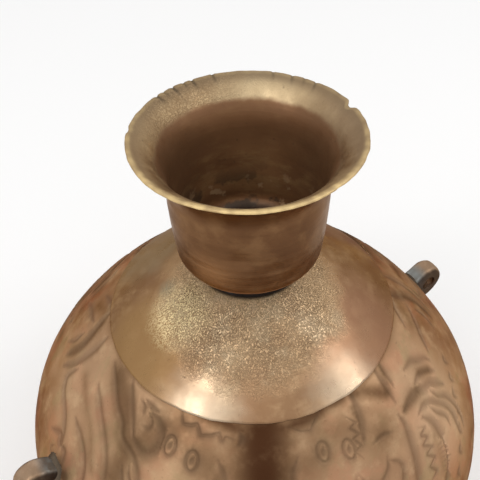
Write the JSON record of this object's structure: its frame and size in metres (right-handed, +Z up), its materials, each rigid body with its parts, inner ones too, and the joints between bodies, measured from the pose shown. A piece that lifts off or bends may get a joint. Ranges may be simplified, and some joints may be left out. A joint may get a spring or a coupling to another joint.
{
  "type": "water pot",
  "caption": "Round-bellied sheet-brass water pot with an engraved shoulder, conical collar, narrow throat, flared mouth cup and two cast eyes.",
  "frame": {"origin": "on the pot's axis, in the plane that the foot ring stands on", "axes": "+Z up along the pot's axis, X through the two eyes"},
  "size_m": [0.279, 0.2566, 0.306],
  "materials": {
    "cup_brass": "old brass turned smooth, brown patina, lip worn bright",
    "collar_brass": "old brass, hammered then polished, satin gloss",
    "body_brass": "old brass, chased pattern dark in its lines, satin brown patina",
    "foot_brass": "old brass, satin, tread worn",
    "eye_bronze": "cast, rounded by wear, brown-grey patina",
    "filler_metal": "dull grey-brown solder and brazing metal"
  },
  "bodies": {
    "root": {"mouth_cup": "cup_brass", "throat_tube": "cup_brass", "shoulder_collar": "collar_brass", "body_upper": "body_brass", "body_lower": "body_brass", "foot_ring": "foot_brass", "eye_right": "eye_bronze", "eye_left": "eye_bronze", "eye_solder_right": "filler_metal", "eye_solder_left": "filler_metal", "throat_solder": "filler_metal", "collar_inner_solder": "filler_metal", "collar_edge_solder": "filler_metal", "belly_seam_braze": "filler_metal", "foot_solder": "filler_metal"}
  },
  "joints": []
}
